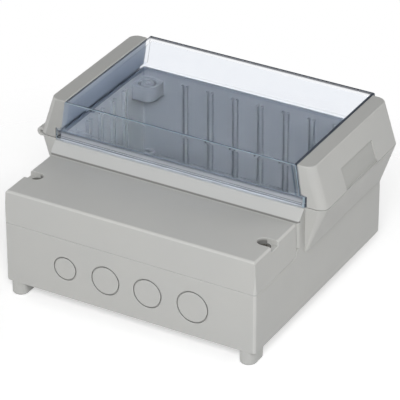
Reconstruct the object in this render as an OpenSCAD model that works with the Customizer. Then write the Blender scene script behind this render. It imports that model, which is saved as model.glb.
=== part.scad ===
// Wall-mount enclosure with a hinged clear lid and a separate terminal compartment.
// Millimetres. +Z points away from the wall, +X to the right and +Y away from the terminal side.
// The origin lies on the wall plane, midway between the two wall screws of the terminal side.

/* [Base housing] */
// Outer width of the base housing
base_w = 163.5; // [153:0.5:180]
// Outer depth of the base housing, from the terminal side to the far side
base_d = 156; // [150:0.5:170]
// Height of the terminal compartment walls above the housing underside
sill_h = 38; // [34:0.5:40]
// Height of the lid parting plane above the housing underside
rim_h = 65.2; // [64:0.2:72]
// Thickness of the housing floor
floor_t = 3; // [2:0.1:5]
// Thickness of the partition between the two compartments
partition_t = 2.5; // [2:0.1:3]
// Radius of the upright corners of the housing
corner_r = 2; // [1:0.25:2.5]
// Radius of the upright corners behind the terminal cover
shoulder_r = 3; // [1:0.25:4]
// Depth from the terminal side to the top edge of the sloped apron
apron_d = 56.4; // [54:0.2:60]
// Thickness of the rim that reaches up into the lid
tongue_t = 1.5; // [1.2:0.1:1.8]
// Height of that rim above the parting plane
tongue_h = 3.2; // [2:0.1:4]
// Thickness of the lip that reaches up into the terminal cover
lip_t = 1; // [0.8:0.1:1.4]
// Height of that lip above the compartment walls
lip_h = 2.5; // [1.5:0.1:4]

/* [Feet and wall screws] */
// Height of the feet
foot_h = 8.7; // [5:0.1:12]
// Width of a foot
foot_w = 10; // [9:0.1:11]
// Length of a foot
foot_l = 12.5; // [12:0.1:16]
// Distance of the front feet from the housing sides
foot_inset = 1.5; // [0:0.1:3]
// Radius of the wall screw holes
wall_hole_r = 2.1; // [1.5:0.05:2.4]
// Distance of the front wall screws from the terminal side
wall_hole_inset = 6.5; // [6:0.1:7.5]
// Distance between the two front wall screws
wall_front_pitch = 149.6; // [148.6:0.1:150.4]
// Distance between the two rear wall screws
wall_rear_pitch = 116; // [110:0.5:118]
// Distance of the rear wall screws from the far side
wall_rear_inset = 8; // [7.5:0.1:9]

/* [Knockouts] */
// Height of the knockout centres above the housing underside
knock_h = 18.8; // [16:0.2:22]
// Diameters of the four knockouts, from left to right
knock_d = [15.2, 18.6, 18.6, 20.4]; // [12:0.1:24]
// Sideways places of the four knockouts, from left to right
knock_x = [-41.5, -14.7, 12.8, 41.9]; // [-60:0.1:60]
// Width of the ring groove
knock_groove_w = 0.8; // [0.4:0.05:1]
// Depth of the ring groove
knock_groove_depth = 1.2; // [0.6:0.1:2]

/* [Card guides] */
// Number of guide pairs on the far wall and on the partition
guide_count_x = 7; // [3:2:7]
// Distance between those pairs
guide_pitch_x = 17.2; // [14:0.2:18]
// Number of guide pairs on each side wall
guide_count_y = 4; // [2:2:4]
// Distance between those pairs
guide_pitch_y = 13.8; // [12:0.2:14]
// How far the middle pair on the far wall lies off the middle
guide_shift_x = 2.4; // [-3:0.1:3]
// How far the pairs on the side walls lie off the middle of the compartment
guide_shift_y = 1.5; // [-3:0.1:3]
// Width of one guide rib
guide_rib_w = 1.5; // [1:0.1:1.8]
// Width of the slot between the two ribs of a pair
guide_slot = 1.7; // [1.6:0.1:2.2]
// How far a rib stands out from its wall
guide_depth = 2.2; // [1.5:0.1:2.5]

/* [Bosses inside] */
// Radius of the corner bosses below the lid
boss_r = 7; // [6:0.1:7.5]
// Height of the corner bosses
boss_h = 10; // [8:0.5:14]
// Depth of the boss tops below the lid parting plane
boss_drop = 0.8; // [0.4:0.1:3]
// Radius of the raised core of a corner boss
boss_core_r = 4; // [3.4:0.1:4.4]
// Width of the groove around the core
boss_groove_w = 1.5; // [1:0.1:2]
// Depth of the groove around the core
boss_groove_depth = 2.5; // [1:0.1:4]
// Radius of the pilot holes in bosses and posts
pilot_r = 1.25; // [1:0.05:1.6]
// Depth of the pilot holes in the corner bosses
pilot_depth = 8; // [5:0.5:9]
// Radius of the floor posts
post_r = 3.5; // [3:0.1:4]
// Height of the post tops above the housing underside
post_h = 23.6; // [15:0.2:28]
// Distance between the posts, sideways
post_pitch_x = 131; // [120:0.5:132]
// Distance between the posts, front to back
post_pitch_y = 60.4; // [50:0.2:62]

/* [Terminal cover] */
// Depth of the cover
cover_d = 48.5; // [46:0.2:51]
// Height of the cover above the compartment walls
cover_h = 21; // [18:0.5:24]
// Thickness of the cover's walls
cover_wall = 2; // [1.6:0.1:2.4]
// Thickness of the cover's top
cover_top_t = 2.5; // [2:0.1:3]
// How far the cover's sides lean in from bottom to top
cover_draft = 0.9; // [0:0.1:1.4]
// Radius of the cover's top edges
cover_edge_r = 1.6; // [0.8:0.1:2]
// Radius of the rear lower corners of the cover's sides
cover_heel_r = 4; // [2:0.2:6]
// Width of the screw notches
notch_w = 8; // [7:0.1:9]
// Depth of the screw notches
notch_depth = 3.3; // [2.5:0.1:4]
// Depth of the round screw seats below the notches
seat_depth = 2; // [1:0.1:3]
// Wall around the screw notches
notch_wall = 1.8; // [1.4:0.1:2.2]
// Distance of the cover screws from the middle
cover_screw_x = 74.1; // [72.5:0.1:74.4]
// Distance of the cover screws from the terminal side
cover_screw_y = 23.5; // [20:0.1:27]
// Width of the ledge that carries the cover's rear edge
ledge_w = 2.5; // [1.5:0.1:4]

/* [Side shoulders] */
// Half the width over the ridge of the shoulders
ridge_half = 94; // [92:0.2:97]
// Height of the shoulder's lower edge above the housing underside
flare_h = 37; // [34:0.5:42]
// How far the shoulder's lower edge stands out from the side wall
flare_lip = 1.6; // [1.3:0.1:2.5]
// Radius of the upright outer corners at the shoulder's lower edge
flare_r = 1.2; // [0.5:0.1:2]
// Depth from the terminal side to the front end of shoulders and strips
strip_front_d = 57.8; // [57.4:0.1:60]
// Distance from the rear end of shoulders and strips to the far side
strip_rear_inset = 3.5; // [2.5:0.1:6]
// Radius of the upright outer corners of shoulders and strips
end_r = 5.5; // [4:0.1:6]
// Thickness of the shoulder's outer wall on the closure side
flare_wall = 2.8; // [2.2:0.1:3.2]
// Depth of the trough inside the shoulders
trough_depth = 13.5; // [10:0.5:16]

/* [Lid hood] */
// Height of the hood's top above the lid parting plane
hood_h = 26; // [24:0.2:30]
// Half the width of the hood's top
hood_top_half = 75.5; // [74:0.1:76.5]
// Half the width of the hood above its skirt
hood_foot_half = 78.3; // [77.8:0.1:78.8]
// Distance of the hood's front wall behind the apron's top edge
hood_set_back = 0.6; // [0.3:0.1:1]
// Thickness of the hood's walls
hood_wall = 2.2; // [1.8:0.1:2.6]
// Thickness of the hood's top
hood_top_t = 2.4; // [2:0.1:3]
// Height of the hood's skirt
skirt_h = 6.8; // [6:0.1:8]
// Thickness of the skirt
skirt_t = 1.9; // [1.5:0.1:2.1]
// How far the skirt stands out beyond the housing sides
skirt_over = 0.55; // [0.3:0.05:0.9]
// Height of the bead along the skirt's lower edge
bead_h = 2.5; // [1.5:0.1:3.5]
// How far the bead stands out from the skirt
bead_out = 0.5; // [0.3:0.05:0.7]
// Radius of the skirt's upright corners
skirt_corner_r = 3; // [2:0.1:3.5]
// Thickness of the ledge between skirt and hood walls, and of the side rails
rail_t = 1.8; // [1.4:0.1:2.2]
// How far the side rails reach out from the skirt
rail_w = 6.2; // [5.6:0.1:6.6]

/* [Side strips] */
// Half the width over the outer top edges of the strips
strip_top_half = 85.7; // [84:0.1:87]
// Thickness of the strips' outer walls
strip_wall = 3; // [2.4:0.1:3.2]
// Thickness of the strips' inner and end walls
strip_inner_wall = 2; // [1.6:0.1:2.2]
// Height of the strip's foot beside the knuckles, on the hinge side
hinge_rib_h = 4.3; // [3.8:0.1:4.6]
// Thickness of the strip and shoulder beside the knuckles
hinge_rib_t = 5.2; // [5:0.1:5.4]
// Length of the finger pocket
pocket_l = 39; // [30:0.5:50]
// Height of the finger pocket along the slanted face
pocket_h = 13.4; // [10:0.2:18]
// Distance of the pocket above the strip's lower edge
pocket_lift = 0.5; // [0.5:0.1:2]
// Depth of the finger pocket
pocket_depth = 1; // [0.6:0.1:1.8]
// Width of the closing tongues
catch_w = 10; // [8:0.5:14]
// Thickness of the closing tongues
catch_t = 1.8; // [1.4:0.1:2.2]
// How far the closing tongues reach into the shoulder
catch_reach = 5.5; // [4:0.1:8]
// Distance between the closing tongues, and between the strip screws
catch_pitch = 50; // [40:1:56]

/* [Hinge] */
// Radius of the hinge barrel
barrel_r = 2.8; // [2.5:0.05:3]
// Radius of the hinge pin
pin_r = 1; // [0.8:0.05:1.2]
// Distance of the pin's axis outside the ridge
hinge_out = 1; // [0.8:0.05:1.2]
// Distance of the pin's axis below the lid parting plane
hinge_drop = 0.8; // [0.6:0.05:1]
// Number of knuckles, with the odd ones on the base
knuckle_count = 5; // [3:2:7]
// Distance of the end knuckles from the ends of the strips
knuckle_inset = 4.2; // [4:0.1:6]
// Distance of the pin's ends inside the end knuckles
pin_recess = 2.5; // [1:0.1:5]

/* [Screws] */
// Radius of the cover screws' heads
screw_head_r = 2.9; // [2.5:0.05:3.2]
// Height of the cover screws' heads
screw_head_h = 1.9; // [1.5:0.1:2.2]
// Radius of the cover screws' shanks
screw_r = 1.5; // [1.25:0.05:1.6]
// How far the cover screws reach below the top of the compartment walls
screw_reach = 4; // [2:0.5:7]
// Width of the slots of the cross recess
recess_w = 1; // [0.7:0.05:1.1]
// Length of the slots of the cross recess
recess_l = 4; // [3:0.1:4.4]
// Depth of the cross recess
recess_depth = 1.2; // [0.8:0.1:1.4]
// Radius of the columns under the cover screws
column_r = 3.9; // [3.6:0.05:4]
// Height of the columns above the compartment walls
column_h = 6; // [4:0.5:8]
// Radius of the threaded inserts
insert_r = 2.3; // [2:0.05:2.5]
// Length of the threaded inserts
insert_l = 6; // [4:0.5:8]
// Radius of the strip screws' shanks
strip_screw_r = 1.25; // [1:0.05:1.4]
// Radius of the strip screws' heads
strip_head_r = 2.4; // [2:0.1:2.6]
// Height of the strip screws' heads
strip_head_h = 1.6; // [1.2:0.1:2]
// Length of the strip screws' shanks above the rail
strip_screw_l = 8; // [5:0.5:10]
// Radius of the bosses that take the strip screws
strip_boss_r = 2.9; // [2.6:0.1:3]
// Distance of the strip screws from the skirt
strip_screw_out = 3.1; // [2.9:0.1:3.3]

/* [Clearances] */
// Gap between the lid's parts and the base at the parting plane
lid_gap = 0.3; // [0.2:0.05:0.5]
// Gap between the rim and the skirt
rim_gap = 0.4; // [0.3:0.05:0.6]
// Gap between the terminal cover and the base
cover_gap = 0.3; // [0.2:0.05:0.4]
// Gap between the terminal cover's rear edge and the base
cover_rear_gap = 0.8; // [0.4:0.1:1.2]
// Gap between the hood and the strips
strip_gap = 0.25; // [0.15:0.05:0.4]
// Gap between the knuckles, and around them
knuckle_gap = 0.4; // [0.3:0.05:0.5]
// Radial clearance of pins, screws and inserts in their holes
bore_gap = 0.05; // [0.02:0.01:0.1]
// Gap between the seal and the hood
seal_gap = 0.1; // [0.05:0.01:0.2]

/* [Hidden] */
$fn = 48;
eps = 0.01;
over = 1;

// Levels above the wall
z_under = foot_h;
z_floor = z_under + floor_t;
z_sill = z_under + sill_h;
z_cover_foot = z_sill + cover_gap;
z_cover = z_sill + cover_h;
z_notch = z_cover - notch_depth;
z_seat = z_notch - seat_depth;
z_ledge = z_cover - cover_top_t - cover_gap;
z_rim = z_under + rim_h;
z_lid_foot = z_rim + lid_gap;
z_skirt = z_rim + skirt_h;
z_rail = z_skirt - rail_t;
z_hood = z_rim + hood_h;
z_tongue = z_rim + tongue_h;
z_seal = z_rail - seal_gap;

// Places across the width
base_half = base_w / 2;
skirt_half = base_half + skirt_over;
skirt_in_half = skirt_half - skirt_t;
tongue_half = skirt_in_half - rim_gap;
device_half = tongue_half - tongue_t;
cover_in_half = base_half - cover_wall;
lip_half = cover_in_half - cover_gap;
term_half = lip_half - lip_t;
rail_half = skirt_half + rail_w;
trough_half = skirt_half + over;
flare_half = base_half + flare_lip;

// Places along the depth
y_front = -wall_hole_inset;
y_back = y_front + base_d;
y_cover = y_front + cover_d;
y_shoulder = y_cover + cover_rear_gap;
y_partition = y_shoulder + partition_t;
y_apron = y_front + apron_d;
y_bead = y_apron - bead_out;
y_skirt = y_apron;
y_hood = y_apron + hood_set_back;
y_tongue = y_skirt + skirt_t + rim_gap;
y_device = y_tongue + tongue_t;
y_tongue_back = y_back - skirt_t - rim_gap;
y_device_back = y_tongue_back - tongue_t;
y_strip = y_front + strip_front_d;
y_strip_back = y_back - strip_rear_inset;
y_strip_mid = (y_strip + y_strip_back) / 2;
y_device_mid = (y_device + y_device_back) / 2;
y_lip = y_front + cover_wall + cover_gap;
y_term = y_lip + lip_t;
y_screw = y_front + cover_screw_y;
y_rear_hole = y_back - wall_rear_inset;

// The slanted outer faces, as angles from the upright
flare_angle = atan2(ridge_half - flare_half, rim_h - flare_h);
strip_lean = ridge_half - strip_top_half;
strip_angle = atan2(strip_lean, z_hood - z_lid_foot);
// Offset of a parallel face across the slanted strip wall
strip_wall_x = strip_wall / cos(strip_angle);
flare_wall_x = flare_wall / cos(flare_angle);

// Hinge axis and knuckles
hinge_x = -(ridge_half + hinge_out);
hinge_z = z_rim - hinge_drop;
y_knuckle = y_strip + knuckle_inset;
y_knuckle_back = y_strip_back - knuckle_inset;
knuckle_l = (y_knuckle_back - y_knuckle - (knuckle_count - 1) * knuckle_gap) / knuckle_count;
knuckle_step = knuckle_l + knuckle_gap;

// Extrude an outline in X and Z along the depth
module along_y(from, to) {
    translate([0, to, 0]) rotate([90, 0, 0]) linear_extrude(to - from) children();
}

// Extrude an outline in Y and Z along the width
module along_x(from, to) {
    translate([from, 0, 0]) rotate([90, 0, 90]) linear_extrude(to - from) children();
}

// Extrude a plan outline between two levels
module along_z(from, to) {
    translate([0, 0, from]) linear_extrude(to - from) children();
}

// Rectangle with its low corner and high corner given
module rect(low, high) {
    translate(low) square(high - low);
}

// Rectangle with round corners
module round_rect(low, high, r) {
    rect(low + [r, 0], high - [r, 0]);
    rect(low + [0, r], high - [0, r]);
    for (x = [low.x + r, high.x - r], y = [low.y + r, high.y - r])
        translate([x, y]) circle(r);
}

// Box with its low corner and high corner given
module box(low, high) {
    translate(low) cube(high - low);
}

module both_sides() {
    children();
    mirror([1, 0, 0]) children();
}

// Cylinder along the depth, about the hinge axis
module hinge_rod(r, from, to) {
    translate([hinge_x, to, hinge_z]) rotate([90, 0, 0]) cylinder(r = r, h = to - from);
}

// Every second knuckle from the given one, or the room that it needs
module knuckles(first, r, slack) {
    for (i = [first : 2 : knuckle_count - 1])
        translate([0, i * knuckle_step, 0])
            hinge_rod(r, y_knuckle - slack, y_knuckle + knuckle_l + slack);
}

// Rectangle in plan with round corners on its outer side, which lies at x = 0
module end_rounded_plan() {
    depth = 2 * end_r + base_half;
    rect([-depth, y_strip], [-end_r, y_strip_back]);
    rect([-depth, y_strip + end_r], [0, y_strip_back - end_r]);
    for (y = [y_strip + end_r, y_strip_back - end_r])
        translate([-end_r, y]) circle(end_r);
}

// Prism whose outer face leans by the given angle and passes through the ridge at the given level
module leaning_prism(level, angle) {
    span = hood_h + rim_h;
    translate([ridge_half, 0, level]) rotate([0, angle, 0])
        translate([0, 0, -span]) linear_extrude(2 * span) end_rounded_plan();
}

// Plan of a right-hand shoulder at one level, with round outer corners
module shoulder_plan(half, r) {
    rect([base_half - over, y_strip], [half - r, y_strip_back]);
    for (y = [y_strip + r, y_strip_back - r])
        translate([half - r, y]) circle(r, $fn = 32);
}

// Right-hand shoulder of the base, from its narrow lower edge up to the ridge
module flare() {
    z_flare = z_under + flare_h;
    hull() {
        along_z(z_flare, z_flare + eps) shoulder_plan(flare_half, flare_r);
        along_z(z_rim - eps, z_rim) shoulder_plan(ridge_half, end_r);
    }
}

// Trough inside a right-hand shoulder, with the given outer wall measured across the width
module trough(outer_wall) {
    slope = tan(flare_angle);
    foot = max(trough_half + over, ridge_half - outer_wall - slope * trough_depth);
    along_y(y_strip + end_r, y_strip_back - end_r)
        polygon([
            [trough_half, z_rim - trough_depth],
            [foot, z_rim - trough_depth],
            [ridge_half - outer_wall, z_rim],
            [ridge_half - outer_wall, z_rim + over],
            [trough_half, z_rim + over]
        ]);
}

// Outline of the device compartment's outside in Y and Z, with the sloped apron
module apron_outline() {
    nose = cover_edge_r;
    polygon([
        [y_shoulder, z_under],
        [y_shoulder, z_cover - nose],
        [y_shoulder + nose / 2, z_cover],
        [y_apron, z_rim],
        [y_back, z_rim],
        [y_back, z_under]
    ]);
}

// Outline of the device compartment's inside in Y and Z
module device_void_outline() {
    polygon([
        [y_partition, z_floor],
        [y_partition, z_cover - partition_t],
        [y_device, z_rim - partition_t],
        [y_device, z_tongue + over],
        [y_device_back, z_tongue + over],
        [y_device_back, z_floor]
    ]);
}

// D-shaped foot with its round end towards -Y at the given place
module foot(x, y_end, turn) {
    r = foot_w / 2;
    translate([x, y_end, 0]) rotate([0, 0, turn]) {
        translate([0, r, 0]) cylinder(r = r, h = z_under + eps);
        box([-r, r, 0], [r, foot_l, z_under + eps]);
    }
}

module base_shell() {
    difference() {
        union() {
            along_z(z_under, z_sill)
                round_rect([-base_half, y_front], [base_half, y_back], corner_r);
            intersection() {
                along_z(z_under, z_rim + over) {
                    round_rect([-base_half, y_shoulder], [base_half, y_strip_mid], shoulder_r);
                    round_rect([-base_half, y_strip], [base_half, y_back], corner_r);
                }
                along_x(-base_half - over, base_half + over) apron_outline();
            }
            both_sides() flare();
            both_sides() heel_fillet();
            // Rim that reaches up into the lid
            along_z(z_rim - over, z_tongue)
                round_rect([-tongue_half, y_tongue], [tongue_half, y_tongue_back], tongue_t);
            // Lip that reaches up into the terminal cover
            along_z(z_sill - over, z_sill + lip_h)
                rect([-lip_half, y_lip], [lip_half, y_partition - eps]);
            both_sides() foot(base_half - foot_inset - foot_w / 2, y_front, 0);
            both_sides() foot(wall_rear_pitch / 2, y_back, 180);
        }
        box([-term_half, y_term, z_floor], [term_half, y_shoulder, z_cover]);
        along_x(-device_half, device_half) device_void_outline();
        trough(flare_wall_x);
        mirror([1, 0, 0]) trough(hinge_rib_t);
    }
}

// Round fillet between the compartment's side wall and the shoulder behind the cover
module heel_fillet() {
    r = cover_heel_r;
    along_x(term_half + eps, base_half)
        difference() {
            rect([y_cover - r, z_sill - eps], [y_shoulder + shoulder_r, z_cover_foot + r]);
            translate([y_cover - r, z_cover_foot + r]) circle(r + cover_gap);
        }
}

// Pair of ribs on a wall at y = 0 that stands behind them
module guide_pair(height) {
    for (side = [-1, 1])
        translate([side * (guide_slot + guide_rib_w) / 2 - guide_rib_w / 2, -guide_depth, z_floor - eps])
            cube([guide_rib_w, guide_depth + over, height]);
}

module card_guides() {
    rear_h = z_rim - z_floor;
    front_h = z_cover - partition_t - z_floor;
    for (i = [-(guide_count_x - 1) / 2 : (guide_count_x - 1) / 2])
        translate([i * guide_pitch_x + guide_shift_x, 0, 0]) {
            translate([0, y_device_back, 0]) guide_pair(rear_h);
            translate([0, y_partition, 0]) rotate([0, 0, 180]) guide_pair(front_h);
        }
    for (i = [-(guide_count_y - 1) / 2 : (guide_count_y - 1) / 2], turn = [-90, 90])
        translate([-sign(turn) * device_half, y_device_mid + i * guide_pitch_y + guide_shift_y, 0])
            rotate([0, 0, turn]) guide_pair(rear_h);
}

// Repeat in the four inner corners, with the corner towards +X and +Y
module in_device_corners() {
    for (mx = [0, 1], my = [0, 1])
        translate([0, y_device_mid, 0]) mirror([mx, 0, 0]) mirror([0, my, 0]) children();
}

module corner_bosses() {
    half_y = (y_device_back - y_device) / 2;
    top = z_rim - boss_drop;
    in_device_corners()
        translate([device_half - boss_r, half_y - boss_r, top - boss_h])
            difference() {
                union() {
                    cylinder(r = boss_r, h = boss_h);
                    cube([boss_r + eps, boss_r + eps, boss_h]);
                    translate([-boss_r, 0, 0]) cube([boss_r, boss_r + eps, boss_h]);
                    translate([0, -boss_r, 0]) cube([boss_r + eps, boss_r, boss_h]);
                }
                translate([0, 0, boss_h - boss_groove_depth])
                    difference() {
                        cylinder(r = boss_core_r + boss_groove_w, h = boss_groove_depth + over);
                        cylinder(r = boss_core_r, h = boss_groove_depth + over);
                    }
                translate([0, 0, boss_h - pilot_depth]) cylinder(r = pilot_r, h = pilot_depth + over);
            }
}

module floor_posts() {
    in_device_corners()
        translate([post_pitch_x / 2, post_pitch_y / 2, z_floor - eps])
            difference() {
                cylinder(r = post_r, h = z_under + post_h - z_floor + eps);
                translate([0, 0, floor_t]) cylinder(r = pilot_r, h = post_h);
            }
}

// Column that takes the insert of a cover screw, tied to the side wall
module screw_column() {
    top = z_sill + column_h;
    translate([cover_screw_x, y_screw, 0])
        difference() {
            union() {
                translate([0, 0, z_floor - eps]) cylinder(r = column_r, h = top - z_floor + eps);
                box([0, -column_r / 2, z_floor - eps], [lip_half - cover_screw_x, column_r / 2, z_sill]);
            }
            translate([0, 0, top - insert_l]) cylinder(r = insert_r + bore_gap, h = insert_l + over);
            translate([0, 0, z_sill - 2 * screw_reach])
                cylinder(r = screw_r + bore_gap, h = 2 * screw_reach + column_h);
        }
}

module knockout_grooves() {
    for (i = [0 : len(knock_d) - 1])
        translate([knock_x[i], y_front + knock_groove_depth, z_under + knock_h]) rotate([90, 0, 0])
            difference() {
                cylinder(d = knock_d[i], h = knock_groove_depth + over);
                cylinder(d = knock_d[i] - 2 * knock_groove_w, h = knock_groove_depth + over);
            }
}

module wall_holes() {
    both_sides() {
        translate([wall_front_pitch / 2, 0, -over])
            cylinder(r = wall_hole_r, h = z_floor + 2 * over);
        translate([wall_rear_pitch / 2, y_rear_hole, -over])
            cylinder(r = wall_hole_r, h = z_floor + 2 * over);
    }
}

module base_housing() {
    color("gainsboro")
        difference() {
            union() {
                difference() {
                    union() {
                        base_shell();
                        card_guides();
                        corner_bosses();
                        floor_posts();
                        both_sides() screw_column();
                        // Ledge that carries the cover's rear edge
                        box([-term_half - eps, y_shoulder - ledge_w, z_ledge - ledge_w],
                            [term_half + eps, y_shoulder + eps, z_ledge]);
                    }
                    knuckles(1, barrel_r + knuckle_gap, knuckle_gap);
                }
                knuckles(0, barrel_r, 0);
            }
            hinge_rod(pin_r + bore_gap, y_knuckle - over, y_knuckle_back + over);
            knockout_grooves();
            wall_holes();
        }
}

module lid_seal() {
    color("darkgray")
        along_z(z_tongue, z_seal)
            difference() {
                round_rect([-tongue_half, y_tongue], [tongue_half, y_tongue_back], tongue_t);
                rect([-device_half, y_device], [device_half, y_device_back]);
            }
}

module hinge_pin() {
    color("silver") hinge_rod(pin_r, y_knuckle + pin_recess, y_knuckle_back - pin_recess);
}

module cover_insert() {
    translate([cover_screw_x, y_screw, z_sill + column_h - insert_l])
        difference() {
            cylinder(r = insert_r, h = insert_l);
            translate([0, 0, -over]) cylinder(r = screw_r + bore_gap, h = insert_l + 2 * over);
        }
}

module cover_insert_left() {
    color("goldenrod") mirror([1, 0, 0]) cover_insert();
}

module cover_insert_right() {
    color("goldenrod") cover_insert();
}

// Outline of the cover across its width, with leaning sides and round top edges
module cover_front_outline() {
    top_half = base_half - cover_draft;
    r = cover_edge_r;
    polygon([
        [-base_half, z_cover_foot], [base_half, z_cover_foot],
        [top_half, z_cover - r], [top_half - r, z_cover],
        [r - top_half, z_cover], [-top_half, z_cover - r]
    ]);
    for (side = [-1, 1])
        translate([side * (top_half - r), z_cover - r]) circle(r);
}

// Outline of the cover along its depth, with a leaning front and a round front edge
module cover_side_outline() {
    r = cover_edge_r;
    y_top = y_front + cover_draft;
    polygon([
        [y_front, z_cover_foot], [y_cover, z_cover_foot], [y_cover, z_cover],
        [y_top + r, z_cover], [y_top, z_cover - r]
    ]);
    translate([y_top + r, z_cover - r]) circle(r);
}

// Screw notch with its seat when grown by 0, or the solid around them when grown by a wall
module notch_body(grow, high) {
    r = notch_w / 2 + grow;
    translate([cover_screw_x, y_screw, 0]) {
        translate([0, 0, z_seat - grow]) cylinder(r = r, h = high - z_seat + grow);
        box([0, -r, z_notch - grow], [base_half, r, high]);
    }
}

module terminal_cover() {
    r = cover_heel_r;
    color("gainsboro")
        difference() {
            intersection() {
                along_y(y_front, y_cover) cover_front_outline();
                along_x(-base_half, base_half) cover_side_outline();
                along_z(z_cover_foot, z_cover)
                    round_rect([-base_half, y_front], [base_half, y_cover + base_d], corner_r);
            }
            difference() {
                box([-cover_in_half, y_front + cover_wall, z_cover_foot - over],
                    [cover_in_half, y_cover + over, z_cover - cover_top_t]);
                both_sides() notch_body(notch_wall, z_cover);
                both_sides() translate([cover_screw_x, y_screw, z_sill + column_h + cover_gap])
                    cylinder(r = column_r, h = cover_h);
            }
            both_sides() notch_body(0, z_cover + over);
            both_sides() translate([cover_screw_x, y_screw, z_sill])
                cylinder(r = screw_r + cover_gap, h = cover_h);
            // Round rear lower corners of the sides
            along_x(-base_half - over, base_half + over)
                difference() {
                    rect([y_cover - r, z_cover_foot - over], [y_cover + over, z_cover_foot + r]);
                    translate([y_cover - r, z_cover_foot + r]) circle(r);
                }
        }
}

module cover_screw() {
    translate([cover_screw_x, y_screw, 0])
        difference() {
            union() {
                translate([0, 0, z_seat]) cylinder(r = screw_head_r, h = screw_head_h);
                translate([0, 0, z_sill - screw_reach])
                    cylinder(r = screw_r, h = z_seat - z_sill + screw_reach + eps);
            }
            for (turn = [45, 135])
                translate([0, 0, z_seat + screw_head_h - recess_depth]) rotate([0, 0, turn])
                    translate([-recess_l / 2, -recess_w / 2, 0])
                        cube([recess_l, recess_w, recess_depth + over]);
        }
}

module cover_screw_left() {
    color("silver") mirror([1, 0, 0]) cover_screw();
}

module cover_screw_right() {
    color("silver") cover_screw();
}

// Outline of the hood above its skirt across the width, inset by a wall and a top thickness
module hood_outline(wall, top) {
    polygon([
        [wall - hood_foot_half, z_skirt], [hood_foot_half - wall, z_skirt],
        [hood_top_half - wall, z_hood - top], [wall - hood_top_half, z_hood - top]
    ]);
}

module strip_screw_places() {
    for (side = [-1, 1])
        translate([skirt_half + strip_screw_out, y_strip_mid + side * catch_pitch / 2, 0]) children();
}

module lid_hood() {
    rail_end = strip_inner_wall + 2 * strip_gap;
    color("slategray", 0.4)
        difference() {
            union() {
                along_y(y_hood, y_back) hood_outline(0, 0);
                along_z(z_lid_foot, z_skirt)
                    round_rect([-skirt_half, y_skirt], [skirt_half, y_back], skirt_corner_r);
                along_z(z_lid_foot, z_lid_foot + bead_h)
                    round_rect([-skirt_half, y_bead], [skirt_half, y_back], skirt_corner_r);
                box([-rail_half, y_strip + rail_end, z_rail],
                    [rail_half, y_strip_back - rail_end, z_skirt]);
            }
            // Room for the rim and the seal inside the skirt
            box([-skirt_in_half, y_skirt + skirt_t, z_lid_foot - over],
                [skirt_in_half, y_back - skirt_t, z_rail]);
            box([hood_wall - hood_foot_half, y_device, z_rail - over],
                [hood_foot_half - hood_wall, y_device_back, z_skirt]);
            along_y(y_hood + hood_wall, y_back - hood_wall) hood_outline(hood_wall, hood_top_t);
            both_sides() strip_screw_places()
                translate([0, 0, z_rail - over])
                    cylinder(r = strip_screw_r + strip_gap, h = rail_t + 2 * over);
        }
}

// Right-hand strip without what the hinge or the closure needs
module strip_body(outer_wall_foot, rib_h) {
    slope = strip_lean / (z_hood - z_lid_foot);
    hood_slope = (hood_foot_half - hood_top_half) / (z_hood - z_skirt);
    z_step = z_skirt + strip_gap;
    z_in = z_hood - strip_inner_wall;
    x_foot = hood_foot_half + strip_gap;
    x_top = hood_top_half + strip_gap;
    x_wall = ridge_half - strip_wall_x;
    difference() {
        intersection() {
            along_y(y_strip - over, y_strip_back + over)
                polygon([
                    [x_top, z_hood], [strip_top_half, z_hood], [ridge_half, z_lid_foot],
                    [skirt_half + strip_gap, z_lid_foot], [skirt_half + strip_gap, z_step],
                    [x_foot, z_step]
                ]);
            leaning_prism(z_lid_foot, -strip_angle);
        }
        // Hollow, open below and towards the hood's rail
        difference() {
            along_y(y_strip + strip_inner_wall, y_strip_back - strip_inner_wall)
                polygon([
                    [skirt_half, z_lid_foot - over],
                    [ridge_half - outer_wall_foot, z_lid_foot - over],
                    [ridge_half - outer_wall_foot, z_lid_foot + rib_h],
                    [x_wall - slope * rib_h, z_lid_foot + rib_h],
                    [x_wall - slope * (z_in - z_lid_foot), z_in],
                    [x_top + strip_inner_wall + hood_slope * strip_inner_wall, z_in],
                    [x_foot + strip_inner_wall, z_step],
                    [skirt_half, z_step]
                ]);
            strip_screw_places() translate([0, 0, z_skirt + eps]) cylinder(r = strip_boss_r, h = hood_h);
        }
        strip_screw_places() translate([0, 0, z_skirt - over])
            cylinder(r = strip_screw_r + bore_gap, h = strip_screw_l + 2 * over);
    }
}

module hinge_strip() {
    color("gainsboro")
        difference() {
            union() {
                difference() {
                    mirror([1, 0, 0]) strip_body(hinge_rib_t, hinge_rib_h);
                    knuckles(0, barrel_r + knuckle_gap, knuckle_gap);
                }
                knuckles(1, barrel_r, 0);
            }
            hinge_rod(pin_r + bore_gap, y_knuckle - over, y_knuckle_back + over);
        }
}

// Tongue that plugs into the trough of the base, with the web that carries it
module closing_tongue() {
    x_tongue = rail_half - catch_t;
    translate([0, -catch_w / 2, 0]) {
        box([x_tongue, 0, z_lid_foot - catch_reach], [x_tongue + catch_t, catch_w, z_rail - strip_gap]);
        box([x_tongue, 0, z_lid_foot], [ridge_half - strip_wall_x + eps, catch_w, z_rail - strip_gap]);
    }
}

module finger_pocket() {
    translate([ridge_half, y_strip_mid - pocket_l / 2, z_lid_foot]) rotate([0, -strip_angle, 0])
        translate([-pocket_depth, 0, pocket_lift]) cube([2 * end_r, pocket_l, pocket_h]);
}

module closure_strip() {
    color("gainsboro")
        difference() {
            union() {
                strip_body(strip_wall_x, over);
                for (side = [-1, 1])
                    translate([0, y_strip_mid + side * catch_pitch / 4, 0]) closing_tongue();
            }
            finger_pocket();
        }
}

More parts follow.
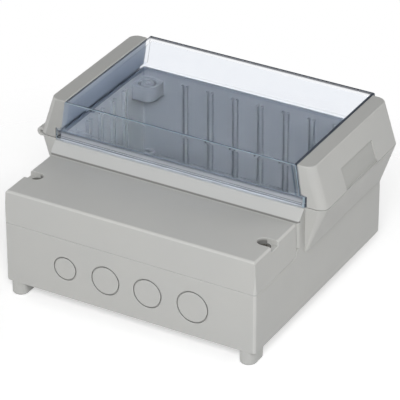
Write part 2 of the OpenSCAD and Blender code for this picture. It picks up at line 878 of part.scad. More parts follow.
module strip_screws() {
    strip_screw_places() {
        translate([0, 0, z_rail - strip_head_h]) cylinder(r = strip_head_r, h = strip_head_h);
        translate([0, 0, z_rail - eps]) cylinder(r = strip_screw_r, h = rail_t + strip_screw_l);
    }
}

module hinge_strip_screws() {
    color("silver") mirror([1, 0, 0]) strip_screws();
}

module closure_strip_screws() {
    color("silver") strip_screws();
}

base_housing();
lid_seal();
hinge_pin();
cover_insert_left();
cover_insert_right();
terminal_cover();
cover_screw_left();
cover_screw_right();
lid_hood();
hinge_strip();
closure_strip();
hinge_strip_screws();
closure_strip_screws();
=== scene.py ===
"""Looks of the wall-mount enclosure: moulded grey plastic, a smoke-clear hood and small metal fittings."""

import math

import bmesh
import bpy
from mathutils import Matrix, Vector


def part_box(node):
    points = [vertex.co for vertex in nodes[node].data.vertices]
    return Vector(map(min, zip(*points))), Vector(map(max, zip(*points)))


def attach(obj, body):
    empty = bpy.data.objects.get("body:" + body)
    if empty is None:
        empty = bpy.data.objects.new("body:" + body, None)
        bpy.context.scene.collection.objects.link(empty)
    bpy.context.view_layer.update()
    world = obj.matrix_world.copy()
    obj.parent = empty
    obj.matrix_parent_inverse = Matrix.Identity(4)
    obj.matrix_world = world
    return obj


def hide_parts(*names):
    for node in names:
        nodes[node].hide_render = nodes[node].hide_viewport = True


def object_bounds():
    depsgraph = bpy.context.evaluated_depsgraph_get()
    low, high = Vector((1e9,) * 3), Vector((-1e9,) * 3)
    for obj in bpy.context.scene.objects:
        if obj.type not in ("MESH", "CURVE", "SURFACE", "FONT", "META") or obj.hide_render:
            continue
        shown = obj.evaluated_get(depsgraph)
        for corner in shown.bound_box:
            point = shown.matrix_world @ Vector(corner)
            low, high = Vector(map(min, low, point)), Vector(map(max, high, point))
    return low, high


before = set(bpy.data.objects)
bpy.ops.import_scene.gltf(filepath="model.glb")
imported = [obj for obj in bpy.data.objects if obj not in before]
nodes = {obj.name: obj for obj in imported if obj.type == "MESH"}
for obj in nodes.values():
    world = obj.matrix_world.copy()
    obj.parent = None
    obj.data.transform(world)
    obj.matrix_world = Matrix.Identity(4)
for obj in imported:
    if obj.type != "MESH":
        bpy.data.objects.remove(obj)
cad_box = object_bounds()
MM = 0.001

# Places from the frame
cover_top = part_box("terminal_cover")[1].z
hood_low, hood_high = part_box("lid_hood")
hood_middle = (hood_low + hood_high) / 2
screw_axis = (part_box("cover_screw_right")[0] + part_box("cover_screw_right")[1]) / 2

# Camera, from the vanishing lines of the photograph: angles in degrees, width of the sensor in mm, and depth
# of the view in metres
CAMERA_AZIMUTH = 29.45
CAMERA_ELEVATION = 30.06
CAMERA_PLACE = Vector((678.8, -1125.7, 841.9)) * MM
FOCAL_PIXELS = 2733
FRAME_PIXELS = 400
SENSOR_WIDTH = 36
VIEW_DEPTH = 20

# Soft round lamps: azimuth from the terminal side and elevation in degrees, and power in watts
LAMPS = {
    "key_lamp": (25, 36, 16.2),
    "left_fill_lamp": (-75, 12, 3.6),
    "right_fill_lamp": (125, 30, 4.3),
    "back_fill_lamp": (190, 6, 4.0),
}

# Distance and size of the lamps in metres, and strength of the sky where it lights the object
LAMP_DISTANCE = 1.5
LAMP_SIZE = 0.7
SKY_STRENGTH = 0.18

# Floor: half its size and the distances between which it fades out, in metres, and the strength of its glow
FLOOR_HALF = 4.0
FLOOR_FADE = (0.14, 0.30)
FLOOR_GLOW = 0.42

# Rounding of the mouldings in mm: an edge gets the first radius that has room there
HOUSING_RADII = (0.6, 0.25)
COVER_RADII = (1.0, 0.25)
STRIP_RADII = (0.7, 0.25)
HOOD_RADII = (1.0, 0.15)
ROUND_STEPS = 3

# Room that a rounding needs, in radii: width of the surfaces beside it, and the distances across a face to
# another rounding and to an edge that stays sharp
SURFACE_ROOM = 2.5
ROUNDING_ROOM = 2.2
EDGE_ROOM = 1.2

# Most share of an edge that a rounding takes: of its own edge at a corner, and of a sharp edge that it meets
CORNER_SHARE = 0.45
SHARP_SHARE = 0.8

# Least part of a step between two edges that leads straight into the face between them
INTO_FACE = 0.7

# Copies of the mouldings: distance in mm at which points merge, and the angles in degrees under which two
# faces are one flat face or one smooth surface
MERGE_DISTANCE = 0.002
FLAT_ANGLE = 0.4
SMOOTH_ANGLE = 28

# Numbers that mark the faces of a copy while its edges are rounded
PLAIN, ROUNDED = 0, 1

# Least part of a face's normal along a direction: the face turns that way, looks that way, loosely or
# straight, or is square to it
TURNS = 0.1
LOOKS = 0.9
LOOKS_STRAIGHT = 0.95
SQUARE = 0.99

# Upright faces: most rise of their normals at a corner and in a screw notch, and least turn of a corner's
# face to each of its two walls
CORNER_RISE = 0.2
NOTCH_RISE = 0.3
CORNER_TURN = 0.25

# Rise of the normals of the cover's rounded top edges
TOP_EDGE_RISE = (0.2, 0.97)

# How far a rounded face of the hood may turn to the terminal side and still show a painted dark line, or a
# painted pale one, and how far a face at an end of the skirt turns aside where its painted line is pale, and
# where it is dark
DARK_LINE_LIMIT = -0.3
PALE_LINE_LIMIT = -0.9
SKIRT_END_LIMITS = (0.4, 0.8)

# Skirt of the hood in mm above its foot: its top, and two painted shade lines across it with their width
SKIRT_TOP = 6.5
LEDGE_LINE = 6.0
BEAD_LINE = 2.3
LINE_WIDTH = 1.6

# Side rails of the hood in mm: least distance from its middle, and a height just above their tops
RAIL_INNER = 76.0
RAIL_TOP = 6.6

# Painted dark lines of the hood's walls, for light that turns inside the plastic at their edges: the way
# across the line, and its middle along that way and its width in mm
FRONT_LINE = ((1, 0, 0.165), 89.5, 1.2)
TOP_LINE = ((1, 0, 0), -74.2, 1.2)
BACK_LINE = ((0, 0, 1), 98.3, 2.0)

# Shares of a line's width at which it has faded out, and at which it is full
LINE_FADE = (0.7, 0.3)

# Side strips in mm: least and most depth of the finger pocket's floor, and reach of the wall at the hood
POCKET_DEPTHS = (0.3, 3.0)
STRIP_INNER_REACH = 5.0

# Housing: the way that its sloped apron faces. In mm: the depths that the partition under the apron lies
# between, the width of the painted shade line along the apron's foot, the least distance of the inner side
# walls from the middle, and the height of the feet
APRON_FACING = Vector((0, -1, 1)).normalized()
PARTITION_Y = (40, 47)
FOOT_SHADE_WIDTH = 0.9
INNER_SIDE = 70.0
FOOT_TOP = 9.0

# Screw notches of the cover in mm: reach about the screw's axis, and depth and width of the painted shade on
# their walls
NOTCH_REACH = 6.0
NOTCH_SHADE = 3.0
NOTCH_SHADE_WIDTH = 3.4

# Painted shade in narrow creases: its reach in mm, and the openness between which it fades
CREASE_REACH = 2.0
CREASE_OPENNESS = (0.1, 0.6)

# Patches of the finishes: bumps to a metre, detail, and the noise levels between which a patch comes in
FLOW_MARKS = (18, 3, 0.35, 0.65)
HAZE = (140, 4, 0.35, 0.75)
DUST = (350, 4, 0.45, 0.75)
TARNISH = (900, 3, 0.4, 0.7)

# Grain of the finishes: bumps to a metre, detail and roughness
GLOSS_CLOUDS = (70, 4, 0.5)
PLASTIC_GRAIN = (2600, 2, 0.6)
RUBBER_GRAIN = (3000, 2, 0.5)
METAL_GRAIN = (4000, 1, 0.5)

# Depth of the grain, and pitch of the turning rings, in mm
SATIN_DEPTH = 0.06
MATT_DEPTH = 0.12
POCKET_DEPTH = 0.25
RUBBER_DEPTH = 0.08
METAL_DEPTH = 0.03
RING_PITCH = 0.2856

# Colours, linear. A pair is the two colours that a surface varies between
GREY = (0.50, 0.50, 0.482, 1), (0.485, 0.487, 0.474, 1)
GREY_POCKET = (0.425, 0.427, 0.41, 1), (0.41, 0.414, 0.40, 1)
# Painted shade on the tops and one end of the side strips
GREY_MATT_SHADED = (0.405, 0.405, 0.392, 1), (0.392, 0.394, 0.383, 1)
# Painted light on the sloped apron
GREY_APRON_LIT = (0.545, 0.55, 0.54, 1), (0.53, 0.537, 0.53, 1)
# Painted light on inner walls that are seen through the hood
GREY_INNER_LIT = (0.74, 0.73, 0.68, 1), (0.71, 0.71, 0.67, 1)
# Painted highlights on rounded edges
GREY_EDGE_HIGHLIGHT = (0.565, 0.565, 0.545, 1), (0.55, 0.552, 0.537, 1)
# Painted shade in creases
CREASE_SHADE = (0.20, 0.20, 0.193, 1)
ZINC = (0.62, 0.62, 0.64, 1), (0.56, 0.55, 0.52, 1)
BURNISHED = (0.36, 0.35, 0.33, 1), (0.22, 0.20, 0.17, 1)
STEEL = (0.50, 0.50, 0.51, 1), (0.56, 0.55, 0.52, 1)
BRASS = (0.66, 0.46, 0.18, 1), (0.48, 0.33, 0.14, 1)
RUBBER = (0.42, 0.43, 0.43, 1), (0.47, 0.475, 0.47, 1)
SMOKE = (0.935, 0.948, 0.97, 1), (0.92, 0.935, 0.96, 1)
SMOKE_DEEP = (0.74, 0.79, 0.89, 1)
SMOKE_BEAD = (0.935, 0.948, 0.97, 1)
# Painted shade: the skirt's darker tint
SMOKE_SKIRT = (0.60, 0.57, 0.55, 1)
# Painted lines of the hood, dark and pale, for light that turns inside the plastic at its edges
SMOKE_LINE = (0.18, 0.19, 0.21, 1)
SMOKE_UPRIGHT_LINE = (0.36, 0.46, 0.53, 1)
SMOKE_BACK_LINE = (0.04, 0.042, 0.048, 1)
SMOKE_EDGE = (0.075, 0.087, 0.11, 1), (0.10, 0.115, 0.14, 1)
SMOKE_EDGE_PALE = (0.33, 0.40, 0.45, 1), (0.28, 0.34, 0.39, 1)
SMOKE_SHADOW = (0.325, 0.385, 0.485, 1)
SMOKE_SHADOW_SKIRT = (0.58, 0.61, 0.66, 1)
SMOKE_SHADOW_SIDE = (1, 1, 1, 1)
FLOOR_PALE = (0.80, 0.80, 0.80, 1)
WHITE = (1, 1, 1, 1)


class Shade:
    """A socket of a node tree. Arithmetic on it adds Math nodes."""

    def __init__(self, tree, socket=None):
        self.tree, self.socket = tree, socket

    def node(self, kind, settings=None, inputs=None, output=0):
        """Adds a node: its settings first, then the values or links of its sockets."""
        made = self.tree.nodes.new(kind)
        for name, value in (settings or {}).items():
            setattr(made, name, value)
        for name, value in (inputs or {}).items():
            if isinstance(value, Shade):
                self.tree.links.new(value.socket, made.inputs[name])
            else:
                made.inputs[name].default_value = value
        return Shade(self.tree, made.outputs[output] if made.outputs else None)

    def math(self, operation, *values):
        return self.node("ShaderNodeMath", {"operation": operation}, dict(enumerate(values)))

    def __add__(self, other):
        return self.math("ADD", self, other)

    def __radd__(self, other):
        return self.math("ADD", other, self)

    def __sub__(self, other):
        return self.math("SUBTRACT", self, other)

    def __rsub__(self, other):
        return self.math("SUBTRACT", other, self)

    def __mul__(self, other):
        return self.math("MULTIPLY", self, other)

    def __rmul__(self, other):
        return self.math("MULTIPLY", other, self)


def new_material(name):
    """An empty material and the start of its node tree."""
    material = bpy.data.materials.new(name)
    material.use_nodes = True
    material.node_tree.nodes.clear()
    return material, Shade(material.node_tree)


def finish_material(graph, surface):
    graph.node("ShaderNodeOutputMaterial", {}, {"Surface": surface})


def place(graph):
    """Place on the object, in metres."""
    return graph.node("ShaderNodeTexCoord", output="Object")


def place_along(graph, axis):
    """Place on the object along one of its axes, in metres."""
    return graph.node("ShaderNodeSeparateXYZ", {}, {0: place(graph)}, output=axis)


def light_path(graph, output):
    return graph.node("ShaderNodeLightPath", output=output)


def noise(graph, scale, detail, roughness):
    """Soft noise with about that many bumps to a metre."""
    return graph.node("ShaderNodeTexNoise", {}, {
        "Vector": place(graph), "Scale": scale, "Detail": detail, "Roughness": roughness,
    })


def ramp(graph, value, start, end):
    """0 before the start, 1 past the end and even between them. The start may be the higher value."""
    return graph.node("ShaderNodeMapRange", {"clamp": True}, {
        "Value": value, "From Min": start, "From Max": end,
    })


def patches(graph, scale, detail, low, high):
    """Soft patches of 1 on a ground of 0."""
    return ramp(graph, noise(graph, scale, detail, 0.5), low, high)


def mix_colour(graph, factor, first, second):
    return graph.node("ShaderNodeMix", {"data_type": "RGBA"}, {0: factor, 6: first, 7: second}, output=2)


def bump(graph, height, strength, depth):
    """Normal of a surface with that relief, its depth in mm."""
    return graph.node("ShaderNodeBump", {}, {"Height": height, "Strength": strength, "Distance": depth * MM})


def lined(graph, level, middle, width, tint, line_tint):
    """The tint, with a line of another tint where the level is near the line's middle, all in metres."""
    offset = graph.math("ABSOLUTE", level - middle)
    gone, full = (share * width for share in LINE_FADE)
    return mix_colour(graph, ramp(graph, offset, gone, full), tint, line_tint)


def moulded_plastic(name, colours, depth=SATIN_DEPTH, alone=True, line=None):
    """Satin moulded plastic: an eroded grain, faint flow marks, slightly uneven gloss and painted shade in
    creases.

    The shaded creases are those of the piece alone, or those against its neighbours too. A line is the
    height and the width in metres of a painted shade line.
    """
    material, graph = new_material(name)
    colour = mix_colour(graph, patches(graph, *FLOW_MARKS), *colours)
    openness = graph.node("ShaderNodeAmbientOcclusion", {"samples": 8, "only_local": alone},
                          {"Distance": CREASE_REACH * MM}, output="AO")
    colour = mix_colour(graph, ramp(graph, openness, *CREASE_OPENNESS), CREASE_SHADE, colour)
    if line:
        colour = lined(graph, place_along(graph, "Z"), *line, colour, CREASE_SHADE)
    finish_material(graph, graph.node("ShaderNodeBsdfPrincipled", {}, {
        "Base Color": colour,
        "Roughness": 0.44 + 0.14 * noise(graph, *GLOSS_CLOUDS),
        "Specular IOR Level": 0.35,
        "Normal": bump(graph, noise(graph, *PLASTIC_GRAIN), 0.10, depth),
    }))
    return material


def lit_through(graph, shader, shadow):
    """The given shader, which light from the lamps crosses with the given tint."""
    through = graph.node("ShaderNodeBsdfTransparent", {}, {"Color": shadow})
    shadow_ray = light_path(graph, "Is Shadow Ray")
    return graph.node("ShaderNodeMixShader", {}, {0: shadow_ray, 1: shader, 2: through})


def clear_plastic(graph, tint):
    """Clear plastic with a slightly uneven gloss. Light that was scattered inside takes a deeper tint."""
    scattered = graph.math("MINIMUM", light_path(graph, "Diffuse Depth"), 1.0)
    return graph.node("ShaderNodeBsdfPrincipled", {}, {
        "Base Color": mix_colour(graph, scattered, tint, SMOKE_DEEP),
        "Roughness": 0.01 * patches(graph, *HAZE),
        "IOR": 1.03,
        "Transmission Weight": 1.0,
    })


def smoke_clear(name, shadow):
    """Clear smoke-blue plastic of the hood. Light from the lamps passes into the housing."""
    material, graph = new_material(name)
    clear_wall = clear_plastic(graph, mix_colour(graph, patches(graph, *HAZE), *SMOKE))
    finish_material(graph, lit_through(graph, clear_wall, shadow))
    return material


def smoke_lined(name, way, middle, width, line_tint):
    """A wall of the hood with a painted dark line where it turns into the next one, for light that turns
    inside the plastic there.

    The line's middle and its width are in mm, and the middle is measured along the given way.
    """
    material, graph = new_material(name)
    across = graph.node("ShaderNodeVectorMath", {"operation": "DOT_PRODUCT"}, {0: place(graph), 1: way},
                        output="Value")
    tint = mix_colour(graph, patches(graph, *HAZE), *SMOKE)
    tint = lined(graph, across, middle * MM, width * MM, tint, line_tint)
    finish_material(graph, lit_through(graph, clear_plastic(graph, tint), SMOKE_SHADOW))
    return material


def smoke_skirt(name):
    """Skirt of the hood: painted darker than the walls, with painted shade lines under its ledge and along
    its pale bead.
    """
    material, graph = new_material(name)
    foot = hood_low.z
    height = place_along(graph, "Z")
    bead = ramp(graph, height, foot + BEAD_LINE * MM, foot + (BEAD_LINE - LINE_WIDTH / 2) * MM)
    tint = mix_colour(graph, bead, SMOKE_SKIRT, SMOKE_BEAD)
    for line in (LEDGE_LINE, BEAD_LINE):
        tint = lined(graph, height, foot + line * MM, LINE_WIDTH * MM, tint, SMOKE_LINE)
    finish_material(graph, lit_through(graph, clear_plastic(graph, tint), SMOKE_SHADOW_SKIRT))
    return material


def smoke_edge(name, colours):
    """Rounded edge of the hood, painted as a line where light turns inside the plastic."""
    material, graph = new_material(name)
    haze = patches(graph, *HAZE)
    line = graph.node("ShaderNodeBsdfPrincipled", {}, {
        "Base Color": mix_colour(graph, haze, *colours),
        "Roughness": 0.6 + 0.2 * haze,
        "Specular IOR Level": 0.0,
    })
    finish_material(graph, lit_through(graph, line, SMOKE_SHADOW))
    return material


def turning_rings(graph, axis):
    """Waves about two upright axes, the given one and its mirror image on the left."""
    x_off = graph.math("ABSOLUTE", place_along(graph, "X")) - axis.x
    y_off = place_along(graph, "Y") - axis.y
    radius = graph.math("SQRT", x_off * x_off + y_off * y_off)
    return graph.math("SINE", radius * (math.tau / (RING_PITCH * MM)))


def turned_metal(name, colours, rough, rings=None):
    """Metal with small tarnish clouds, and fine turning rings about an upright axis where one is given."""
    material, graph = new_material(name)
    tarnish = patches(graph, *TARNISH)
    height = noise(graph, *METAL_GRAIN)
    if rings:
        height = height + turning_rings(graph, rings)
    finish_material(graph, graph.node("ShaderNodeBsdfPrincipled", {}, {
        "Base Color": mix_colour(graph, tarnish, *colours),
        "Metallic": 1.0,
        "Roughness": rough + 0.15 * tarnish,
        "Normal": bump(graph, height, 0.12, METAL_DEPTH),
    }))
    return material


def seal_rubber(name):
    """Dull extruded rubber with a trace of dust."""
    material, graph = new_material(name)
    dust = patches(graph, *DUST)
    finish_material(graph, graph.node("ShaderNodeBsdfPrincipled", {}, {
        "Base Color": mix_colour(graph, dust, *RUBBER),
        "Roughness": 0.7 + 0.2 * dust,
        "Normal": bump(graph, noise(graph, *RUBBER_GRAIN), 0.2, RUBBER_DEPTH),
    }))
    return material


# Grey plastic of the mouldings
# Painted shade lines, as a height and a width: at the foot of the apron, and on the walls of the screw
# notches
foot_shade_line = (cover_top, FOOT_SHADE_WIDTH * MM)
notch_shade_line = (cover_top - NOTCH_SHADE * MM, NOTCH_SHADE_WIDTH * MM)
grey = moulded_plastic("satin_grey_plastic", GREY)
# Painted shade in creases, also against neighbouring parts
joined_grey = moulded_plastic("satin_grey_joined_plastic", GREY, alone=False)
pocket_grey = moulded_plastic("grained_pocket_plastic", GREY_POCKET, POCKET_DEPTH)
# Coarser grain and painted shade
matt_shaded_grey = moulded_plastic("matt_painted_shade_strip_plastic", GREY_MATT_SHADED, MATT_DEPTH)
# Painted light on the apron, with the painted shade line at its foot
apron_lit_grey = moulded_plastic("painted_light_apron_plastic", GREY_APRON_LIT, line=foot_shade_line)
foot_grey = moulded_plastic("satin_grey_partition_plastic", GREY, line=foot_shade_line)
# Painted shade on the walls of the screw notches
notch_grey = moulded_plastic("satin_grey_notch_plastic", GREY, line=notch_shade_line)
# Painted highlights on rounded edges
edge_highlight_grey = moulded_plastic("painted_highlight_edge_plastic", GREY_EDGE_HIGHLIGHT)
# Painted light on inner walls seen through the hood, and on the hood's rails
inner_lit_grey = moulded_plastic("painted_light_inner_wall_plastic", GREY_INNER_LIT)

# Clear plastic of the hood
clear = smoke_clear("smoke_clear_plastic", SMOKE_SHADOW)
clear_side = smoke_clear("smoke_clear_side", SMOKE_SHADOW_SIDE)
clear_front = smoke_lined("smoke_clear_front", *FRONT_LINE, SMOKE_UPRIGHT_LINE)
clear_top = smoke_lined("smoke_clear_top", *TOP_LINE, SMOKE_LINE)
clear_back = smoke_lined("smoke_clear_back", *BACK_LINE, SMOKE_BACK_LINE)
clear_skirt = smoke_skirt("smoke_clear_skirt")
clear_edge = smoke_edge("smoke_clear_edge", SMOKE_EDGE)
clear_edge_pale = smoke_edge("smoke_clear_edge_pale", SMOKE_EDGE_PALE)

# Metal fittings and the seal
zinc = turned_metal("zinc_plated_screw", ZINC, rough=0.28)
burnished = turned_metal("burnished_screw", BURNISHED, rough=0.16, rings=screw_axis)
steel = turned_metal("drawn_pin_steel", STEEL, rough=0.32)
brass = turned_metal("turned_brass", BRASS, rough=0.3, rings=screw_axis)
rubber = seal_rubber("seal_rubber")


def add_object(name, data):
    """A new object in the scene."""
    obj = bpy.data.objects.new(name, data)
    bpy.context.scene.collection.objects.link(obj)
    return obj


def add_mesh(name, bm):
    """A new object with the mesh that was built, which is freed."""
    mesh = bpy.data.meshes.new(name)
    bm.to_mesh(mesh)
    bm.free()
    return add_object(name, mesh)


def merged_copy(node):
    """A CAD node's faces as one connected mesh, with its sharp edges marked."""
    bm = bmesh.new()
    bm.from_mesh(nodes[node].data)
    bmesh.ops.remove_doubles(bm, verts=bm.verts, dist=MERGE_DISTANCE * MM)
    bmesh.ops.dissolve_limit(bm, angle_limit=math.radians(FLAT_ANGLE), verts=bm.verts, edges=bm.edges)
    for face in bm.faces:
        face.smooth, face.material_index = True, PLAIN
    for edge in bm.edges:
        edge.smooth = edge.calc_face_angle(math.pi) < math.radians(SMOOTH_ANGLE)
    return bm


def surface_widths(bm):
    """For each face, the width of its smooth surface, taken as a strip with the same area and rim."""
    widths = {}
    for seed in bm.faces:
        if seed in widths:
            continue
        surface, waiting, rim = {seed}, [seed], 0
        while waiting:
            for edge in waiting.pop().edges:
                if not edge.smooth:
                    rim += edge.calc_length()
                    continue
                beyond = [face for face in edge.link_faces if face not in surface]
                surface.update(beyond)
                waiting.extend(beyond)
        width = 2 * sum(face.calc_area() for face in surface) / rim if rim else math.inf
        widths.update((face, width) for face in surface)
    return widths


def nearest_on(edge, point):
    """Point of an edge that is nearest to the given one."""
    start, end = (corner.co for corner in edge.verts)
    share = (point - start).dot(end - start) / (end - start).length_squared
    return start.lerp(end, min(max(share, 0), 1))


def near_across(edge, reach):
    """Edges across the two faces of an edge that lie within reach of it, with their distances."""
    found = []
    middle, half = (edge.verts[0].co + edge.verts[1].co) / 2, edge.calc_length() / 2
    for loop in edge.link_loops:
        inward = loop.face.normal.cross(loop.link_loop_next.vert.co - loop.vert.co).normalized()
        for other in loop.face.edges:
            ends = [corner.co for corner in other.verts]
            far = ((ends[0] + ends[1]) / 2 - middle).length - half - other.calc_length() / 2
            if other.smooth or far > reach or set(other.verts) & set(edge.verts):
                continue
            steps = [end - nearest_on(edge, end) for end in ends]
            steps += [nearest_on(other, corner.co) - corner.co for corner in edge.verts]
            gaps = [step.length for step in steps if step.dot(inward) > INTO_FACE * step.length]
            if gaps and min(gaps) < reach:
                found.append((other, min(gaps)))
    return found


def lacks_room(edge, chosen, radius, across):
    """True if an edge's rounding would run into an edge across a face, or past the end of one it meets."""
    if any(gap < (ROUNDING_ROOM if other in chosen else EDGE_ROOM) * radius for other, gap in across):
        return True
    for corner in edge.verts:
        along = edge.other_vert(corner).co - corner.co
        for other in corner.link_edges:
            if other == edge:
                continue
            turn = along.angle(other.other_vert(corner).co - corner.co)
            if other in chosen:
                if radius / math.tan(turn / 2) > CORNER_SHARE * edge.calc_length():
                    return True
            elif radius > SHARP_SHARE * other.calc_length() * math.sin(turn):
                return True
    return False


def edges_to_round(bm, radius):
    """Sharp edges with room for the radius on both sides and at both ends."""
    widths = surface_widths(bm)
    least = SURFACE_ROOM * radius
    sharp = [edge for edge in bm.edges if not edge.smooth]
    chosen = {edge for edge in sharp if min(widths[face] for face in edge.link_faces) > least}
    across = {edge: near_across(edge, ROUNDING_ROOM * radius) for edge in chosen}
    tight = True
    while tight:
        tight = {edge for edge in chosen if lacks_room(edge, chosen, radius, across[edge])}
        chosen -= tight
    return list(chosen)


def softened_copy(node, body, radii):
    """A copy of a moulded CAD node with rounded edges, and the numbers of its rounded faces."""
    bm = merged_copy(node)
    for radius in radii:
        edges = edges_to_round(bm, radius * MM)
        made = bmesh.ops.bevel(bm, geom=edges, offset=radius * MM, offset_type="OFFSET", affect="EDGES",
                               segments=ROUND_STEPS, profile=0.5, material=-1, clamp_overlap=False)
        for face in made["faces"]:
            face.smooth, face.material_index = True, ROUNDED
    piece = add_mesh(node + "_moulding", bm)
    rounded = {face.index for face in piece.data.polygons if face.material_index == ROUNDED}
    for number in rounded:
        piece.data.polygons[number].material_index = PLAIN
    flat_faces = piece.modifiers.new("flat_faces", "WEIGHTED_NORMAL")
    flat_faces.mode, flat_faces.weight, flat_faces.keep_sharp = "FACE_AREA", 100, True
    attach(piece, body)
    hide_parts(node)
    return piece, rounded


def dress(obj, material):
    """One finish all over."""
    obj.data.materials.clear()
    obj.data.materials.append(material)


def repaint(piece, material, chosen):
    """Another finish on the faces that the test picks."""
    piece.data.materials.append(material)
    slot = len(piece.data.materials) - 1
    for face in piece.data.polygons:
        if chosen(face):
            face.material_index = slot


def on_inner_side(face):
    """True for the side walls inside the housing, under the hood."""
    inward = -math.copysign(1, face.center.x) * face.normal.x
    return inward > LOOKS and abs(face.center.x) > INNER_SIDE * MM and face.center.y > hood_low.y


def on_corner(face):
    """True for a face of an upright rounded edge that turns to the terminal side."""
    normal = face.normal
    return abs(normal.z) < CORNER_RISE and normal.y < -CORNER_TURN and abs(normal.x) > CORNER_TURN


def on_front_corner(face):
    """True for the upright rounded edges at the housing's front, above its feet."""
    return on_corner(face) and face.center.y < 0 and face.center.z > FOOT_TOP * MM


def on_cover_edge(face):
    """True for the rounded edges of the cover."""
    least, most = TOP_EDGE_RISE
    return least < face.normal.z < most or on_corner(face)


def in_notch(face):
    """True for an upright face of a screw notch."""
    reach = Vector((abs(face.center.x) - screw_axis.x, face.center.y - screw_axis.y)).length
    return abs(face.normal.z) < NOTCH_RISE and reach < NOTCH_REACH * MM


def finish_housing(housing):
    """Painted shade where the cover meets it and in a line at the foot of its apron, painted light on the
    apron and its inner side walls, and painted highlights on its front corners.
    """
    near, far = (y * MM for y in PARTITION_Y)
    dress(housing, grey)
    repaint(housing, joined_grey, lambda face: face.center.z < cover_top)
    repaint(housing, foot_grey, lambda face: face.normal.y < -TURNS and near < face.center.y < far)
    repaint(housing, apron_lit_grey, lambda face: face.normal.dot(APRON_FACING) > SQUARE)
    repaint(housing, inner_lit_grey, on_inner_side)
    repaint(housing, edge_highlight_grey, on_front_corner)


def finish_cover(cover):
    """Painted shade where the cover meets the housing, painted highlights on its rounded edges and painted
    shade in its screw notches.
    """
    dress(cover, joined_grey)
    repaint(cover, edge_highlight_grey, on_cover_edge)
    repaint(cover, notch_grey, in_notch)


def finish_strip(strip, node):
    """Coarser grain and painted shade on the top and one end of a side strip, and painted light on the inner
    wall that is seen through the hood.

    The shaded end is the front one on the left strip and the rear one on the right strip.
    """
    low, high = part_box(node)
    inward = 1 if high.x < 0 else -1
    near = (high if inward > 0 else low).x - inward * STRIP_INNER_REACH * MM
    dress(strip, grey)
    repaint(strip, matt_shaded_grey, lambda face: face.normal.z > LOOKS_STRAIGHT
            or inward * face.normal.y < -LOOKS_STRAIGHT)
    repaint(strip, inner_lit_grey, lambda face: inward * face.normal.x > LOOKS
            and inward * (face.center.x - near) > 0)


def finish_hinge_strip(strip):
    finish_strip(strip, "hinge_strip")


def finish_closure_strip(strip):
    """The strip with the grained floor of its finger pocket, a little inside the slanted outer face."""
    finish_strip(strip, "closure_strip")
    outer = max((face for face in strip.data.polygons if face.normal.x > LOOKS), key=lambda face: face.area)
    surface, normal = outer.center.copy(), outer.normal.copy()
    least, most = POCKET_DEPTHS
    repaint(strip, pocket_grey, lambda face: face.normal.dot(normal) > SQUARE
            and least * MM < (surface - face.center).dot(normal) < most * MM)


def hood_finish(face, rounded):
    """Finish of one face of the hood: painted lines along its outer rounded edges, a darker skirt with
    painted shade lines, clear walls with painted lines, and painted light on the outer sides of its rails.
    """
    aside, turn, rise = abs(face.normal.x), face.normal.y, face.normal.z
    outward = face.normal.dot(face.center - hood_middle) > 0
    skirt_top, rail_top = (hood_low.z + top * MM for top in (SKIRT_TOP, RAIL_TOP))
    if outward and rounded and turn > PALE_LINE_LIMIT:
        return clear_edge if turn > DARK_LINE_LIMIT else clear_edge_pale
    if outward and turn < -TURNS and face.center.z < skirt_top:
        pale_end, dark_end = SKIRT_END_LIMITS
        return clear_edge if aside > dark_end else clear_edge_pale if aside > pale_end else clear_skirt
    if outward and turn < -LOOKS:
        return clear_front
    if outward and turn > LOOKS:
        return clear_back
    if outward and rise > LOOKS and face.center.z > skirt_top:
        return clear_top
    if face.center.z < (rail_top if abs(face.center.x) > RAIL_INNER * MM else skirt_top):
        return inner_lit_grey if outward and aside > SQUARE else clear_side
    return clear_side if aside > LOOKS else clear


def finish_hood(hood, rounded):
    """Clear walls and painted lines of the hood. The outer sides of its rails lie at the strips and are
    painted a pale grey, for light that reaches them.
    """
    finishes = [clear, clear_side, clear_front, clear_top, clear_skirt, clear_back]
    finishes += [clear_edge, clear_edge_pale, inner_lit_grey]
    for material in finishes:
        hood.data.materials.append(material)
    for face in hood.data.polygons:
        face.material_index = finishes.index(hood_finish(face, face.index in rounded))


def direction(azimuth, elevation):
    """Unit vector from the object: azimuth 0 is the terminal side, and it grows towards +X."""
    turn, rise = math.radians(azimuth), math.radians(elevation)
    return Vector((math.sin(turn) * math.cos(rise), -math.cos(turn) * math.cos(rise), math.sin(rise)))


def facing(away):
    """Turn of a camera or lamp that looks against the given direction."""
    return away.to_track_quat("Z", "Y").to_matrix().to_4x4()


def add_camera():
    data = bpy.data.cameras.new("camera")
    data.sensor_width = SENSOR_WIDTH
    data.lens = FOCAL_PIXELS / FRAME_PIXELS * SENSOR_WIDTH
    data.clip_end = VIEW_DEPTH
    camera = add_object("camera", data)
    away = direction(CAMERA_AZIMUTH, CAMERA_ELEVATION)
    camera.matrix_world = Matrix.Translation(CAMERA_PLACE) @ facing(away)
    bpy.context.scene.camera = camera


def seen_directly(graph):
    """1 for rays that show the background: from the camera, in a reflection or through clear plastic.

    0 for rays that light a matt surface, also where they cross the hood on their way.
    """
    shown = light_path(graph, "Is Camera Ray")
    for ray in ("Is Glossy Ray", "Is Transmission Ray"):
        shown = graph.math("MAXIMUM", shown, light_path(graph, ray))
    return shown * graph.math("LESS_THAN", light_path(graph, "Diffuse Depth"), 0.5)


def add_sky():
    """White where it is seen, and a soft light from all around."""
    world = bpy.data.worlds.new("studio")
    bpy.context.scene.world = world
    world.use_nodes = True
    world.node_tree.nodes.clear()
    graph = Shade(world.node_tree)
    strength = SKY_STRENGTH + (1 - SKY_STRENGTH) * seen_directly(graph)
    sky = graph.node("ShaderNodeBackground", {}, {"Color": WHITE, "Strength": strength})
    graph.node("ShaderNodeOutputWorld", {}, {"Surface": sky})


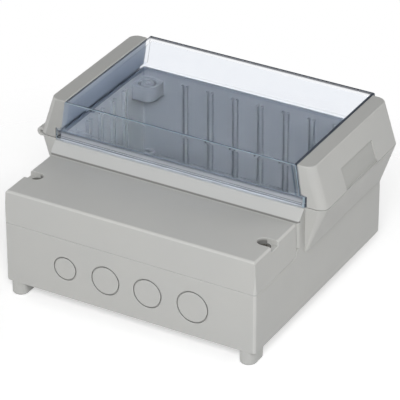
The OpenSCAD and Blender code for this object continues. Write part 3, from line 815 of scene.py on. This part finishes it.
def add_lamps():
    middle = (cad_box[0] + cad_box[1]) / 2
    for name, (azimuth, elevation, power) in LAMPS.items():
        away = direction(azimuth, elevation)
        data = bpy.data.lights.new(name, "AREA")
        data.shape, data.size, data.energy = "DISK", LAMP_SIZE, power
        lamp = add_object(name, data)
        lamp.matrix_world = Matrix.Translation(middle + LAMP_DISTANCE * away) @ facing(away)


def pale_floor(name):
    """Pale paint with a little glow in straight views, which fades into the white far from the object."""
    material, graph = new_material(name)
    shown = seen_directly(graph)
    paint = graph.node("ShaderNodeBsdfDiffuse", {}, {"Color": FLOOR_PALE})
    glow = graph.node("ShaderNodeEmission", {}, {"Strength": FLOOR_GLOW * shown})
    pale = graph.node("ShaderNodeAddShader", {}, {0: paint, 1: glow})
    white = graph.node("ShaderNodeBsdfTransparent")
    distance = graph.node("ShaderNodeVectorMath", {"operation": "LENGTH"}, {0: place(graph)}, output="Value")
    far = ramp(graph, distance, *FLOOR_FADE) * shown
    finish_material(graph, graph.node("ShaderNodeMixShader", {}, {0: far, 1: pale, 2: white}))
    return material


def add_floor():
    bm = bmesh.new()
    bmesh.ops.create_grid(bm, x_segments=1, y_segments=1, size=FLOOR_HALF)
    floor = add_mesh("floor", bm)
    dress(floor, pale_floor("pale_floor"))


# CAD nodes that keep their shape, with their finishes
fittings = {
    "lid_seal": rubber,
    "hinge_pin": steel,
    "cover_insert_left": brass,
    "cover_insert_right": brass,
    "cover_screw_left": burnished,
    "cover_screw_right": burnished,
    "hinge_strip_screws": zinc,
    "closure_strip_screws": zinc,
}
for node, material in fittings.items():
    dress(nodes[node], material)

# Mouldings, as copies with rounded edges: the body, the radii and the finish
mouldings = {
    "base_housing": ("base", HOUSING_RADII, finish_housing),
    "terminal_cover": ("cover", COVER_RADII, finish_cover),
    "hinge_strip": ("lid", STRIP_RADII, finish_hinge_strip),
    "closure_strip": ("lid", STRIP_RADII, finish_closure_strip),
}
for node, (body, radii, finish) in mouldings.items():
    piece, _ = softened_copy(node, body, radii)
    finish(piece)
hood, rounded_faces = softened_copy("lid_hood", "lid", HOOD_RADII)
finish_hood(hood, rounded_faces)

add_floor()
add_sky()
add_lamps()
add_camera()
bpy.context.scene.view_settings.view_transform = "Standard"
